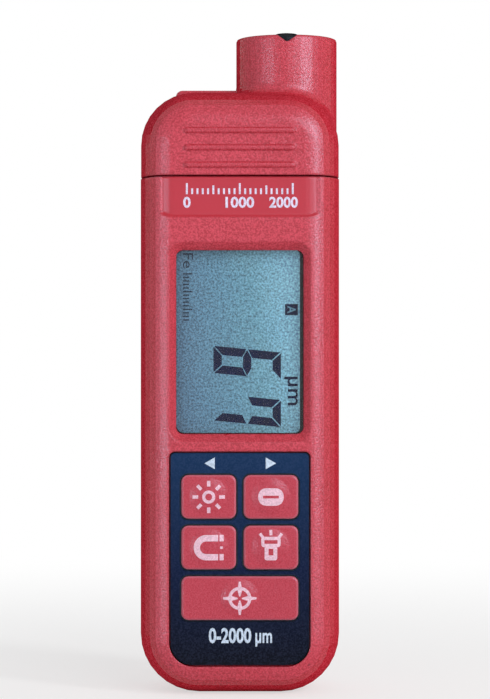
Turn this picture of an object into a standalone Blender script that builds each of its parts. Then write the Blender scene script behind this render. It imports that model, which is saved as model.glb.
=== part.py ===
"""Coating thickness gauge: a pocket instrument with a ribbed head, a probe sleeve, a screen and five keys.

It stands on its lower end. The front faces -Y, +Z is up, and the origin is under the middle of the case.
Depths are measured from the flat front face towards the back.
"""

import math

import bmesh
import bpy

MM = 0.001

# Clearances
GAP = 0.3 * MM
KEY_CLEARANCE = 0.3 * MM
REACH = 2.0 * MM

# Case outline, from the bottom up
CASE_WIDTH = 35.0 * MM
CORNER_RADIUS = 9.4 * MM
LOW_CORNER_RADIUS = 10.3 * MM
KEYPAD_MARGIN = 5.25 * MM
KEYPAD_HEIGHT = 37.4 * MM
SCREEN_MARGIN = 1.6 * MM
SCREEN_HEIGHT = 34.8 * MM
BADGE_MARGIN = 4.2 * MM
BADGE_HEIGHT = 7.3 * MM
HEAD_HEIGHT = 15.2 * MM
CORNER_STEPS = 8
KEY_CORNER_STEPS = 5

# Case section
SIDE_DEPTH = 8.0 * MM
CREASE_INSET = 2.8 * MM
CREASE_DEPTH = 1.1 * MM
FACE_INSET = 6.0 * MM
SIDE_BEND = (0.56 * MM, 3.6 * MM)
FACE_BEND_INSET = 4.56 * MM
BACK_INSET = 4.5 * MM
BACK_ROUND = 8.4 * MM
SEAM_DEPTH = 11.0 * MM
WALL = 1.6 * MM
FACE_WALL = 2.9 * MM
HOLLOW_SLOPE = 0.6 * MM
HOLLOW_BEVEL = 2.6 * MM
HOLLOW_BEVEL_DEPTH = 1.8 * MM
LIP_WALL = 0.9 * MM
LIP_HEIGHT = 1.2 * MM
LIP_INSET = WALL + GAP + 0.15 * MM
HEAD_STEP = 0.05 * MM
HEAD_FACE_WALL = 2.0 * MM
TONGUE_WALL = 1.2 * MM
TONGUE_HEIGHT = 1.6 * MM
TONGUE_SUNK = 0.4 * MM

# Ribs and badge recess
RIB_HEIGHT = 0.4 * MM
RIB_THICKNESS = 1.2 * MM
RIB_LENGTH = 19.8 * MM
RIB_PITCH = 3.0 * MM
RIB_COUNT = 3
RIB_STEPS = 6
RIB_EDGE = 0.3 * MM
RIB_SHOULDER = 0.1 * MM
FIRST_RIB = 1.9 * MM
BADGE_WIDTH = 28.0 * MM
BADGE_DEPTH = 0.45 * MM
BADGE_SIDE_SLOPE = 2.2
BADGE_LOW_SLOPE = 1.2
BADGE_EDGE_DEPTH = 0.6 * MM

# Screen
SCREEN_WIDTH = 25.0 * MM
SCREEN_RADIUS = 2.6 * MM
SCREEN_SLOPE = 1.4 * MM
SCREEN_DEPTH = 1.3 * MM
SCREEN_LIP = 0.8 * MM
SCREEN_CORNER = 0.3 * MM
SCREEN_PROUD = 0.4 * MM
WINDOW_OVERLAP = 1.1 * MM
WINDOW_THICKNESS = 1.0 * MM
LCD_OVERLAP = 0.4 * MM
LCD_THICKNESS = 2.0 * MM
BACKLIGHT_THICKNESS = 1.4 * MM
LCD_FRAME_WALL = 1.0 * MM

# Board and what sits on it
BOARD_THICKNESS = 1.6 * MM
BOARD_MARGIN = 2.2 * MM
BOARD_CORNER = 1.0 * MM
BOARD_FROM_POST = 2.0 * MM
PARTS_FROM_EDGE = 1.0 * MM
CHIP_CORNER = 0.3 * MM
SWITCH_CORNER = 0.4 * MM
PARTS_HEIGHT = 2.0 * MM
CHIP_SIZE = 7.0 * MM
CHIP_HEIGHT = 1.2 * MM
BUZZER_RADIUS = 4.5 * MM
SWITCH_SIZE = 4.5 * MM
SWITCH_HEIGHT = 2.4 * MM
PLUNGER_RADIUS = 1.2 * MM
PLUNGER_HEIGHT = 0.9 * MM

# Keypad
KEYPAD_WIDTH = 24.6 * MM
KEYPAD_TOP_RADIUS = 1.1 * MM
KEYPAD_LOW_RADIUS = 4.2 * MM
OVERLAY_DROP = 0.4 * MM
OVERLAY_THICKNESS = 0.7 * MM
KEY_WIDTH = 9.5 * MM
KEY_HEIGHT = 7.6 * MM
KEY_PITCH_X = 10.8 * MM
KEY_PITCH_Z = 8.8 * MM
KEY_RADIUS = 1.2 * MM
KEY_PROUD = 0.15 * MM
KEY_EDGE = 0.25 * MM
KEY_TRAVEL = 0.4 * MM
KEYS_FROM_TOP = 4.1 * MM
DOME_RADIUS = 3.4 * MM
DOME_HEIGHT = 0.45 * MM
DOME_RINGS = 3
STEM_RADIUS = 1.4 * MM

# Battery bay
CELL_RADIUS = 5.25 * MM
CELL_LENGTH = 44.5 * MM
CELL_EDGE = 0.5 * MM
CELL_NUB_RADIUS = 1.9 * MM
CELL_NUB_HEIGHT = 1.0 * MM
CELL_SPACE = 0.4 * MM
BAY_FROM_BOTTOM = 14.5 * MM
BAY_FLOOR = 1.0 * MM
BAY_WALL = 2.0 * MM
COVER_LEDGE = 1.2 * MM
COVER_THICKNESS = 1.4 * MM
COVER_RADIUS = 2.0 * MM
SPRING_LENGTH = 4.0 * MM
SPRING_RADIUS = 2.6 * MM
SPRING_WIRE = 0.25 * MM
SPRING_TURNS = 4
CONTACT_THICKNESS = 0.5 * MM
CONTACT_SIZE = 7.0 * MM
GRIP_RIBS = 4
GRIP_PITCH = 1.6 * MM
GRIP_WIDTH = 9.0 * MM
GRIP_DEPTH = 0.4 * MM
GRIP_THICKNESS = 0.7 * MM

# Probe sleeve
SLEEVE_RADIUS = 9.0 * MM
SLEEVE_SIDE = 0.16 * MM
SLEEVE_BACK = 0.6 * MM
SLEEVE_HEIGHT = 10.15 * MM
SLEEVE_FILLET = 1.7 * MM
FILLET_SUNK = 0.07 * MM
FILLET_SIDE = 0.08 * MM
SLEEVE_RIM = 0.5 * MM
SLEEVE_WALL = 1.5 * MM
SLEEVE_SEAT = 1.3 * MM
SLEEVE_ROOT = 2.6 * MM
GROOVE_WIDTH = 3.7 * MM
GROOVE_FLOOR = 0.5 * MM
GROOVE_DEPTH = 1.2 * MM

# Probe
HOLDER_DROP = 1.3 * MM
HOLDER_LENGTH = 17.0 * MM
HOLDER_FLOOR = 2.7 * MM
HOLDER_LEAD_RADIUS = 0.9 * MM
TIP_RADIUS = 2.7 * MM
TIP_PROUD = 1.1 * MM
TIP_LENGTH = 5.0 * MM
TIP_DOME = 1.2 * MM
TIP_STEPS = 5
HOLDER_EDGE = 0.4 * MM
CORE_RADIUS = 1.0 * MM
CORE_DOME = 0.5 * MM
CORE_FLANGE = 0.8 * MM
COIL_LENGTH = 4.8 * MM
PROBE_WIRE = 0.2 * MM
PROBE_TURNS = 4

# Torch
BOSS_LENGTH = 12.0 * MM
BOSS_DEPTH = 9.6 * MM
BOSS_HEIGHT = 0.8 * MM
BOSS_SUNK = 1.2 * MM
BOSS_BACK = 1.6 * MM
BOSS_CORNER = 1.2 * MM
BOSS_EDGE = 0.5 * MM
TORCH_RADIUS = 2.6 * MM
TORCH_WALL = 1.3 * MM
LENS_THICKNESS = 1.5 * MM
LENS_DROP = 0.3 * MM
LENS_EDGE = 0.5 * MM
LENS_SHOULDER = 1.8 * MM
LED_LENGTH = 5.0 * MM
LED_FLANGE = 1.0 * MM
LED_NECK = 2.2 * MM
LED_DOME = 1.8 * MM

# Case screws
SCREW_RADIUS = 0.9 * MM
SCREW_HEAD_RADIUS = 1.8 * MM
SCREW_HEAD_HEIGHT = 1.3 * MM
SCREW_EDGE = 0.4 * MM
SCREW_SEAT_DEPTH = 17.0 * MM
SCREW_LENGTH = 11.0 * MM
SCREW_SIDE = 6.2 * MM
SCREW_FROM_BOTTOM = 8.4 * MM
SCREW_UNDER_HEAD = 5.2 * MM
POST_RADIUS = 2.2 * MM
POST_WALL = 0.9 * MM

# Places along Z, worked out from the sizes above
KEYPAD_TOP = KEYPAD_MARGIN + KEYPAD_HEIGHT
SCREEN_LOW = KEYPAD_TOP + SCREEN_MARGIN
SCREEN_TOP = SCREEN_LOW + SCREEN_HEIGHT
BADGE_LOW = SCREEN_TOP + BADGE_MARGIN
PARTING = BADGE_LOW + BADGE_HEIGHT
CASE_TOP = PARTING + HEAD_HEIGHT
SLEEVE_TOP = CASE_TOP + SLEEVE_HEIGHT
SLEEVE_LOW = PARTING + SLEEVE_ROOT
HALF_WIDTH = CASE_WIDTH / 2

# Depths, worked out from the layers between the front face and the back
WINDOW_DEPTH = SCREEN_DEPTH + SCREEN_LIP + GAP
LCD_DEPTH = WINDOW_DEPTH + WINDOW_THICKNESS + GAP
BACKLIGHT_DEPTH = LCD_DEPTH + LCD_THICKNESS + GAP
BOARD_DEPTH = BACKLIGHT_DEPTH + BACKLIGHT_THICKNESS + GAP
PARTS_DEPTH = BOARD_DEPTH + BOARD_THICKNESS + GAP
BAY_FRONT = PARTS_DEPTH + PARTS_HEIGHT + GAP
CELL_DEPTH = BAY_FRONT + BAY_FLOOR + GAP
COVER_DEPTH = CELL_DEPTH + 2 * CELL_RADIUS + GAP
BACK_DEPTH = COVER_DEPTH + COVER_THICKNESS
FACE_Y = (RIB_HEIGHT - BACK_DEPTH) / 2

# Battery bay, worked out from the two cells in it
BAY_HALF = 2 * CELL_RADIUS + CELL_SPACE / 2 + GAP
BAY_LENGTH = CELL_LENGTH + SPRING_LENGTH + CONTACT_THICKNESS + 4 * GAP
BAY_LOW = BAY_FROM_BOTTOM
BAY_TOP = BAY_LOW + BAY_LENGTH

# Probe axis and levels
PROBE_X = HALF_WIDTH - SLEEVE_RADIUS - SLEEVE_SIDE
PROBE_Y = FACE_Y + BACK_DEPTH - SLEEVE_BACK - SLEEVE_RADIUS
BORE_RADIUS = SLEEVE_RADIUS - SLEEVE_WALL
HOLDER_TOP = SLEEVE_TOP - HOLDER_DROP
HOLDER_LOW = HOLDER_TOP - HOLDER_LENGTH
TIP_TOP = SLEEVE_TOP + TIP_PROUD
TIP_LOW = TIP_TOP - TIP_LENGTH
COIL_TOP = TIP_LOW - GAP
COIL_LOW = COIL_TOP - COIL_LENGTH
FLANGE_TOP = COIL_LOW - GAP
PROBE_LOW = FLANGE_TOP - CORE_FLANGE
PROBE_SEAT = HOLDER_LOW + HOLDER_FLOOR

# Torch axis and levels
BOSS_X = PROBE_X - SLEEVE_RADIUS + BOSS_SUNK - BOSS_LENGTH / 2
TORCH_X = BOSS_X - BOSS_SUNK
TORCH_Y = FACE_Y + SEAM_DEPTH + BOSS_BACK + BOSS_DEPTH / 2
TORCH_TOP = CASE_TOP + BOSS_HEIGHT
LENS_LOW = TORCH_TOP - LENS_DROP - LENS_THICKNESS
LED_LOW = LENS_LOW - GAP - LED_LENGTH

# How finely curves are stepped
SLEEVE_STEPS = 48
FILLET_STEPS = 5
ROUND_STEPS = 32
TURNED_STEPS = 24
SMALL_STEPS = 16
SCREW_STEPS = 12
SIDE_STEPS = 4
BACK_STEPS = 5


def y_at(depth):
    """The Y coordinate of a depth behind the front face."""
    return FACE_Y + depth


def material(name, colour, roughness, metallic=0.0):
    made = bpy.data.materials.new(name)
    made.use_nodes = True
    shader = made.node_tree.nodes["Principled BSDF"]
    shader.inputs["Base Color"].default_value = (*colour, 1.0)
    shader.inputs["Roughness"].default_value = roughness
    shader.inputs["Metallic"].default_value = metallic
    made.diffuse_color = (*colour, 1.0)
    return made


def add_object(name, mesh, finish=None):
    """Closes off a bmesh as an object, with its faces turned outwards."""
    bmesh.ops.recalc_face_normals(mesh, faces=mesh.faces)
    data = bpy.data.meshes.new(name)
    mesh.to_mesh(data)
    mesh.free()
    data.shade_smooth()
    data.set_sharp_from_angle(angle=math.radians(35))
    made = bpy.data.objects.new(name, data)
    bpy.context.scene.collection.objects.link(made)
    if finish:
        data.materials.append(finish)
    return made


def helper(made):
    """Marks an object that only cuts or joins, so that it isn't a piece of its own."""
    made.hide_render = True
    made.display_type = "WIRE"
    return made


def boolean(body, other, operation):
    helper(other)
    step = body.modifiers.new(f"{operation.lower()} {other.name}", "BOOLEAN")
    step.operation = operation
    step.solver = "EXACT"
    step.object = other
    return body


def cut(body, *cutters):
    for cutter in cutters:
        boolean(body, cutter, "DIFFERENCE")
    return body


def join(body, *additions):
    for addition in additions:
        boolean(body, addition, "UNION")
    return body


def keep_inside(body, region):
    return boolean(body, region, "INTERSECT")


def skin(name, rings, finish=None, closed=False):
    """A solid through rings of points. One point is a pole, and closed joins the last ring to the first."""
    mesh = bmesh.new()
    rows = [[mesh.verts.new(point) for point in ring] for ring in rings]
    pairs = list(zip(rows, rows[1:]))
    if closed:
        pairs.append((rows[-1], rows[0]))
    for low, high in pairs:
        count = max(len(low), len(high))
        for index in range(count):
            after = (index + 1) % count
            corners = [low[index % len(low)], low[after % len(low)]]
            corners += [high[after % len(high)], high[index % len(high)]]
            mesh.faces.new(list(dict.fromkeys(corners)))
    if not closed:
        for end in (rows[0], rows[-1]):
            if len(end) > 1:
                mesh.faces.new(end)
    return add_object(name, mesh, finish)


def rounded_outline(half_width, low, high, low_radius, high_radius, centre_x=0.0, steps=CORNER_STEPS):
    """A rectangle's outline in X and Z with round corners, anticlockwise from its lower right corner."""
    corners = (
        (half_width - low_radius, low + low_radius, low_radius, -90),
        (half_width - high_radius, high - high_radius, high_radius, 0),
        (high_radius - half_width, high - high_radius, high_radius, 90),
        (low_radius - half_width, low + low_radius, low_radius, 180),
    )
    outline = []
    for x, z, radius, start in corners:
        for step in range(steps + 1):
            angle = math.radians(start + 90 * step / steps)
            outline.append((centre_x + x + radius * math.cos(angle), z + radius * math.sin(angle)))
    return outline


def at_depth(outline, depth):
    return [(x, y_at(depth), z) for x, z in outline]


def slab(name, outline, depth, thickness, finish=None):
    """A flat piece with an outline in X and Z."""
    return skin(name, [at_depth(outline, depth), at_depth(outline, depth + thickness)], finish)


def box(name, low, high, finish=None):
    """A box between two corners."""
    ring = [(low[0], low[2]), (high[0], low[2]), (high[0], high[2]), (low[0], high[2])]
    return skin(name, [[(x, y, z) for x, z in ring] for y in (low[1], high[1])], finish)


def depth_box(name, half_width, low, high, depth, deeper, centre_x=0.0):
    """A box across the case between two levels and two depths."""
    return box(name, (centre_x - half_width, y_at(depth), low), (centre_x + half_width, y_at(deeper), high))


def circle(radius, steps):
    if radius == 0:
        return [(0.0, 0.0)]
    turns = (2 * math.pi * step / steps for step in range(steps))
    return [(radius * math.cos(turn), radius * math.sin(turn)) for turn in turns]


def turned_z(name, profile, x, y, finish=None, steps=ROUND_STEPS, closed=False):
    """A turned solid on an upright axis, from pairs of radius and level."""
    rings = [[(x + u, y + v, level) for u, v in circle(radius, steps)] for radius, level in profile]
    return skin(name, rings, finish, closed)


def turned_y(name, profile, x, z, finish=None, steps=SMALL_STEPS, closed=False):
    """A turned solid on an axis from front to back, from pairs of radius and depth."""
    rings = [[(x + u, y_at(depth), z + v) for u, v in circle(radius, steps)] for radius, depth in profile]
    return skin(name, rings, finish, closed)


def rod_y(name, radius, depth, deeper, x, z, steps=SMALL_STEPS):
    return turned_y(name, [(radius, depth), (radius, deeper)], x, z, steps=steps)


def coil_spring(name, radius, wire, turns, low, high, x, y, finish):
    """A round wire along a helix, with its ends closed flat."""
    steps_a_turn = 12
    sides = 5
    count = steps_a_turn * turns
    rise = (high - low - 2 * wire) / count
    rings = []
    for step in range(count + 1):
        turn = 2 * math.pi * step / steps_a_turn
        ring = []
        for u, v in circle(wire, sides):
            reach = radius + u
            level = low + wire + rise * step + v
            ring.append((x + reach * math.cos(turn), y + reach * math.sin(turn), level))
        rings.append(ring)
    return skin(name, rings, finish)


def bend(start, middle, end, steps):
    """Points along a curve that starts towards middle and arrives from it."""
    points = []
    for step in range(steps + 1):
        t = step / steps
        weights = ((1 - t) ** 2, 2 * t * (1 - t), t * t)
        points.append(tuple(sum(w * p[i] for w, p in zip(weights, (start, middle, end))) for i in range(2)))
    return points


def case_outline(inset):
    """The case's outline, inset all round."""
    radii = (LOW_CORNER_RADIUS - inset, CORNER_RADIUS - inset)
    return rounded_outline(HALF_WIDTH - inset, inset, CASE_TOP - inset, *radii)


def case_solid(name, section, extra=0.0, finish=None):
    """A solid inside the case's outline, from pairs of inset and depth."""
    return skin(name, [at_depth(case_outline(inset + extra), depth) for inset, depth in section], finish)


def front_section(sunk=0.0):
    """Inset and depth from the seam to the flat face: a curved side, a crease and a softly rounded face."""
    crease = (CREASE_INSET, CREASE_DEPTH)
    side = bend((0, SIDE_DEPTH), SIDE_BEND, crease, SIDE_STEPS)
    face = bend(crease, (FACE_BEND_INSET, 0), (FACE_INSET, 0), SIDE_STEPS)
    section = [(0, SEAM_DEPTH - GAP / 2)] + side + face[1:]
    return [(inset, depth + sunk) for inset, depth in section]


def back_section():
    """Inset and depth from the seam to the flat back."""
    section = [(0, SEAM_DEPTH + GAP / 2)]
    for step in range(BACK_STEPS + 1):
        turn = math.radians(90 * step / BACK_STEPS)
        section.append((BACK_INSET * (1 - math.cos(turn)), BACK_DEPTH - BACK_ROUND * (1 - math.sin(turn))))
    return section


def whole_section():
    """Inset and depth from the front face to the flat back."""
    return front_section()[::-1] + back_section()


def front_hollow_section(face_depth=FACE_WALL, extra=0.0):
    """Inset and depth of the hollow of the front half, from the seam forwards."""
    start = WALL + extra
    shoulder = start + HOLLOW_SLOPE
    bevel = face_depth + HOLLOW_BEVEL_DEPTH
    return [(start, SEAM_DEPTH), (shoulder, bevel), (shoulder + HOLLOW_BEVEL, face_depth)]


def back_hollow_section(extra=0.0):
    """Inset and depth of the hollow of the rear half, from the seam backwards."""
    start = WALL + extra
    round_start = BACK_DEPTH - BACK_ROUND
    return [(start, SEAM_DEPTH), (start, round_start), (start + 0.5 * BACK_INSET, BACK_DEPTH - start)]


def whole_hollow(name, face_depth, extra=0.0):
    """The hollow of a moulding that has both the front and the back."""
    front = front_hollow_section(face_depth, extra)[::-1]
    return case_solid(name, front + back_hollow_section(extra)[1:])


def past_seam(section, reach):
    """A hollow's section with its open end carried past the seam."""
    return [(section[0][0], SEAM_DEPTH + reach)] + section[1:]


def level_region(name, low, high):
    """All of the case between two levels."""
    return box(name, (-CASE_WIDTH, -CASE_WIDTH, low), (CASE_WIDTH, CASE_WIDTH, high))


def inset_at(y):
    """The inset of the case's outline at a place between its front and its back."""
    depth = y - FACE_Y
    section = whole_section()
    for (inset, start), (after, end) in zip(section, section[1:]):
        if start <= depth <= end:
            return inset + (after - inset) * (depth - start) / (end - start)
    return HALF_WIDTH


def head_side_at(y):
    """Half of the head's width at a place between its front and its back."""
    return HALF_WIDTH - HEAD_STEP - inset_at(y)


def head_top_at(x, y):
    """The level of the head's top at a place seen from above, and of its side where the top ends."""
    corner = CORNER_RADIUS - HEAD_STEP - inset_at(y)
    across = max(abs(x) - (HALF_WIDTH - CORNER_RADIUS), 0)
    return CASE_TOP - CORNER_RADIUS + math.sqrt(max(corner * corner - across * across, 0))


def screw_places():
    x = HALF_WIDTH - SCREW_SIDE
    for z in (SCREW_FROM_BOTTOM, PARTING - SCREW_UNDER_HEAD):
        for side in (-1, 1):
            yield side * x, z


def key_places():
    """Name, centre and size of each key: two rows of two, and a wide one under them."""
    names = (("key_brightness", "key_zero"), ("key_magnet", "key_torch"))
    top_row = KEYPAD_TOP - KEYS_FROM_TOP - KEY_HEIGHT / 2
    for row, pair in enumerate(names):
        for side, name in zip((-0.5, 0.5), pair):
            yield name, side * KEY_PITCH_X, top_row - row * KEY_PITCH_Z, KEY_WIDTH
    yield "key_target", 0.0, top_row - len(names) * KEY_PITCH_Z, KEY_WIDTH + KEY_PITCH_X


def keypad_outline(shrink=0.0):
    low, top = KEYPAD_MARGIN + shrink, KEYPAD_TOP - shrink
    radii = (KEYPAD_LOW_RADIUS - shrink, KEYPAD_TOP_RADIUS - shrink)
    return rounded_outline(KEYPAD_WIDTH / 2 - shrink, low, top, *radii)


def screen_outline(shrink):
    radius = max(SCREEN_RADIUS - shrink, SCREEN_CORNER)
    half = SCREEN_WIDTH / 2 - shrink
    return rounded_outline(half, SCREEN_LOW + shrink, SCREEN_TOP - shrink, radius, radius)


def screen_cutter():
    """Sloping walls down to the lip, then straight through it."""
    rise = SCREEN_SLOPE / SCREEN_DEPTH
    rings = [
        at_depth(screen_outline(-SCREEN_PROUD * rise), -SCREEN_PROUD),
        at_depth(screen_outline(SCREEN_SLOPE), SCREEN_DEPTH),
        at_depth(screen_outline(SCREEN_SLOPE), WINDOW_DEPTH + GAP),
    ]
    return skin("cut_screen", rings)


def lcd_shrink():
    """How far the cell's edge lies inside the screen frame's outline."""
    return SCREEN_SLOPE - LCD_OVERLAP


def frame_shrink():
    """How far the display frame's outer edge lies inside the screen frame's outline."""
    return lcd_shrink() - GAP - LCD_FRAME_WALL


def make_front_shell(finish):
    shell = case_solid("front_shell", front_section(), finish=finish)
    keep_inside(shell, level_region("front_region", -REACH, PARTING - GAP / 2))
    hollow = case_solid("front_hollow", past_seam(front_hollow_section(), REACH))
    for number, (x, z) in enumerate(screw_places()):
        cut(hollow, rod_y(f"front_post_{number}", POST_RADIUS, WALL, SEAM_DEPTH + 2 * REACH, x, z))
    cut(shell, hollow)
    pocket = screen_outline(frame_shrink() - GAP)
    cut(shell, slab("cut_pocket", pocket, SCREEN_DEPTH + SCREEN_LIP, SEAM_DEPTH), screen_cutter())
    floor = OVERLAY_DROP + OVERLAY_THICKNESS + GAP
    cut(shell, slab("cut_keypad", keypad_outline(), -REACH, REACH + floor))
    for name, x, z, _ in key_places():
        cut(shell, rod_y(f"cut_stem_{name}", STEM_RADIUS + KEY_CLEARANCE, 0, FACE_WALL + REACH, x, z))
    depths = (SCREW_SEAT_DEPTH - SCREW_LENGTH - GAP, SEAM_DEPTH + REACH)
    for number, (x, z) in enumerate(screw_places()):
        cut(shell, rod_y(f"cut_front_screw_{number}", SCREW_RADIUS + GAP, *depths, x, z, SCREW_STEPS))
    badge = badge_cutter()
    cut(badge, case_solid("badge_floor", front_section(BADGE_DEPTH)))
    return cut(shell, badge)


def badge_cutter():
    """The badge recess before its floor is taken off it, with slopes at its sides and its lower edge."""
    rings = []
    for depth in (-REACH, FACE_WALL):
        half = BADGE_WIDTH / 2 - BADGE_SIDE_SLOPE * (depth - BADGE_EDGE_DEPTH)
        low = BADGE_LOW + BADGE_LOW_SLOPE * depth
        corners = [(-half, low), (half, low), (half, PARTING + REACH), (-half, PARTING + REACH)]
        rings.append(at_depth(corners, depth))
    return skin("cut_badge", rings)


def rib(name, z):
    """A rounded bar across the head, sunk well into the face."""
    rings = []
    for shrink, depth in ((RIB_EDGE, -RIB_HEIGHT), (RIB_SHOULDER, -RIB_HEIGHT / 3), (0, WALL / 2)):
        end = (RIB_LENGTH - RIB_THICKNESS) / 2 * (1 - 2 * shrink / RIB_LENGTH)
        radius = RIB_THICKNESS / 2 - shrink
        outline = []
        for side in (1, -1):
            for step in range(RIB_STEPS + 1):
                turn = math.radians(-90 * side + 180 * step / RIB_STEPS)
                outline.append((side * end + radius * math.cos(turn), z + radius * math.sin(turn)))
        rings.append(at_depth(outline, depth))
    return skin(name, rings)


def make_head_cover(finish):
    """The head: one moulding with ribs, the probe sleeve, a torch boss and a tongue that the shells hold."""
    cover = case_solid("head_cover", whole_section(), HEAD_STEP, finish)
    keep_inside(cover, level_region("head_region", PARTING + GAP / 2, CASE_TOP + REACH))
    hollow = whole_hollow("head_hollow", HEAD_FACE_WALL)
    cut(hollow, torch_rod("torch_socket", TORCH_RADIUS + GAP + TORCH_WALL, LED_LOW))
    cut(cover, hollow)
    for number in range(RIB_COUNT):
        join(cover, rib(f"rib_{number}", PARTING + FIRST_RIB + number * RIB_PITCH))
    join(cover, head_tongue(), torch_boss())
    core = [(SLEEVE_RADIUS - SLEEVE_WALL / 2, level) for level in (SLEEVE_LOW + GAP, SLEEVE_TOP)]
    cut(cover, turned_z("cut_core", core, PROBE_X, PROBE_Y))
    join(cover, sleeve_solid())
    return cut(cover, groove_cutter(), torch_rod("cut_torch", TORCH_RADIUS + GAP, LED_LOW - REACH))


def torch_rod(name, radius, low):
    """A rod on the torch's axis, from a level up past the top of the boss."""
    return turned_z(name, [(radius, low), (radius, TORCH_TOP + REACH)], TORCH_X, TORCH_Y)


def head_tongue():
    """A tongue all round that fits inside the shells. Its collar grows into the head's wall."""
    tongue = whole_hollow("head_tongue", FACE_WALL + GAP, GAP)
    keep_inside(tongue, level_region("tongue_region", PARTING - TONGUE_HEIGHT, PARTING + TONGUE_HEIGHT))
    collar = whole_hollow("head_collar", WALL, -TONGUE_SUNK)
    keep_inside(collar, level_region("collar_region", PARTING + GAP, PARTING + TONGUE_HEIGHT + GAP))
    join(tongue, collar)
    return cut(tongue, whole_hollow("tongue_hollow", FACE_WALL + GAP + TONGUE_WALL, GAP + TONGUE_WALL))


def sleeve_solid():
    """The probe sleeve with its bore and seat, and a fillet at its foot that follows the head's round top."""
    seat = HOLDER_LOW - GAP
    lead_radius = BORE_RADIUS - SLEEVE_SEAT
    inside = [(lead_radius, SLEEVE_LOW), (lead_radius, seat), (BORE_RADIUS, seat), (BORE_RADIUS, SLEEVE_TOP)]
    shoulder = SLEEVE_RIM * (1 - math.sin(math.radians(45)))
    rim = [
        (SLEEVE_RADIUS - SLEEVE_RIM, SLEEVE_TOP),
        (SLEEVE_RADIUS - shoulder, SLEEVE_TOP - shoulder),
        (SLEEVE_RADIUS, SLEEVE_TOP - SLEEVE_RIM),
    ]
    fillet_low = CASE_TOP - CORNER_RADIUS - GAP
    rings = []
    for step in range(SLEEVE_STEPS):
        turn = 2 * math.pi * step / SLEEVE_STEPS
        across, back = math.cos(turn), math.sin(turn)
        room = fillet_room(across, back)
        profile = inside + rim
        for part in range(FILLET_STEPS + 1):
            rise = math.radians(90 * part / FILLET_STEPS)
            radius = SLEEVE_RADIUS + room * (1 - math.cos(rise))
            under = head_top_at(PROBE_X + radius * across, PROBE_Y + radius * back) - FILLET_SUNK
            profile.append((radius, under + SLEEVE_FILLET * (1 - math.sin(rise))))
        profile += [(radius, fillet_low), (SLEEVE_RADIUS, fillet_low), (SLEEVE_RADIUS, SLEEVE_LOW)]
        rings.append([(PROBE_X + reach * across, PROBE_Y + reach * back, level) for reach, level in profile])
    return skin("sleeve", rings, closed=True)


def fillet_room(across, back):
    """How far the fillet can spread in a direction before it would pass the head's side."""
    room = SLEEVE_FILLET
    while room > FILLET_SIDE:
        reach = SLEEVE_RADIUS + room + FILLET_SIDE
        if abs(PROBE_X + reach * across) < head_side_at(PROBE_Y + reach * back):
            break
        room -= FILLET_SIDE / 4
    return room


def groove_cutter():
    """A V groove right across the sleeve's rim."""
    floor = GROOVE_FLOOR / 2
    low = SLEEVE_TOP - GROOVE_DEPTH
    slope = (GROOVE_WIDTH / 2 - floor) / GROOVE_DEPTH
    half = floor + slope * (GROOVE_DEPTH + REACH)
    outline = [(-floor, low), (floor, low), (half, SLEEVE_TOP + REACH), (-half, SLEEVE_TOP + REACH)]
    ends = (PROBE_Y - 2 * SLEEVE_RADIUS, PROBE_Y + 2 * SLEEVE_RADIUS)
    return skin("cut_groove", [[(PROBE_X + x, y, z) for x, z in outline] for y in ends])


def torch_boss():
    """A low boss on the top, with rounded corners and edges, that runs into the foot of the sleeve."""
    half, low = BOSS_LENGTH / 2, CASE_TOP - CORNER_RADIUS / 2
    ends = (TORCH_Y - BOSS_DEPTH / 2, TORCH_Y + BOSS_DEPTH / 2)
    outline = rounded_outline(half, low, TORCH_TOP, BOSS_EDGE, BOSS_CORNER, BOSS_X, KEY_CORNER_STEPS)
    inner = rounded_outline(half - BOSS_EDGE, low, TORCH_TOP - BOSS_EDGE, BOSS_EDGE, BOSS_CORNER - BOSS_EDGE,
                            BOSS_X, KEY_CORNER_STEPS)
    places = ((inner, ends[0]), (outline, ends[0] + BOSS_EDGE), (outline, ends[1] - BOSS_EDGE), (inner, ends[1]))
    return skin("torch_boss", [[(x, y, z) for x, z in ring] for ring, y in places])


def cover_outline(shrink=0.0):
    edge = COVER_LEDGE - shrink
    radius = COVER_RADIUS - shrink
    return rounded_outline(BAY_HALF + edge, BAY_LOW - edge, BAY_TOP + edge, radius, radius)


def make_rear_shell(finish):
    shell = case_solid("rear_shell", back_section(), finish=finish)
    keep_inside(shell, level_region("rear_region", -REACH, PARTING - GAP / 2))
    hollow = case_solid("rear_hollow", past_seam(back_hollow_section(), -REACH))
    tub = (BAY_HALF + BAY_WALL, BAY_LOW - BAY_WALL, BAY_TOP + BAY_WALL)
    cut(hollow, depth_box("bay_tub", *tub, BAY_FRONT, BACK_DEPTH + REACH))
    counterbore = SCREW_HEAD_RADIUS + GAP
    post = counterbore + POST_WALL
    for number, (x, z) in enumerate(screw_places()):
        cut(hollow, rod_y(f"rear_post_{number}", post, SEAM_DEPTH - 2 * REACH, BACK_DEPTH + REACH, x, z))
    cut(shell, hollow)
    join(shell, seam_lip())
    cut(shell, depth_box("cut_bay", BAY_HALF, BAY_LOW, BAY_TOP, BAY_FRONT + BAY_FLOOR, BACK_DEPTH + REACH))
    cut(shell, slab("cut_cover", cover_outline(), COVER_DEPTH - GAP, COVER_THICKNESS + REACH))
    for number, (x, z) in enumerate(screw_places()):
        profile = [
            (SCREW_RADIUS + GAP, SEAM_DEPTH - REACH),
            (SCREW_RADIUS + GAP, SCREW_SEAT_DEPTH),
            (counterbore, SCREW_SEAT_DEPTH),
            (counterbore, BACK_DEPTH + REACH),
        ]
        cut(shell, turned_y(f"cut_rear_screw_{number}", profile, x, z))
    return shell


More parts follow.
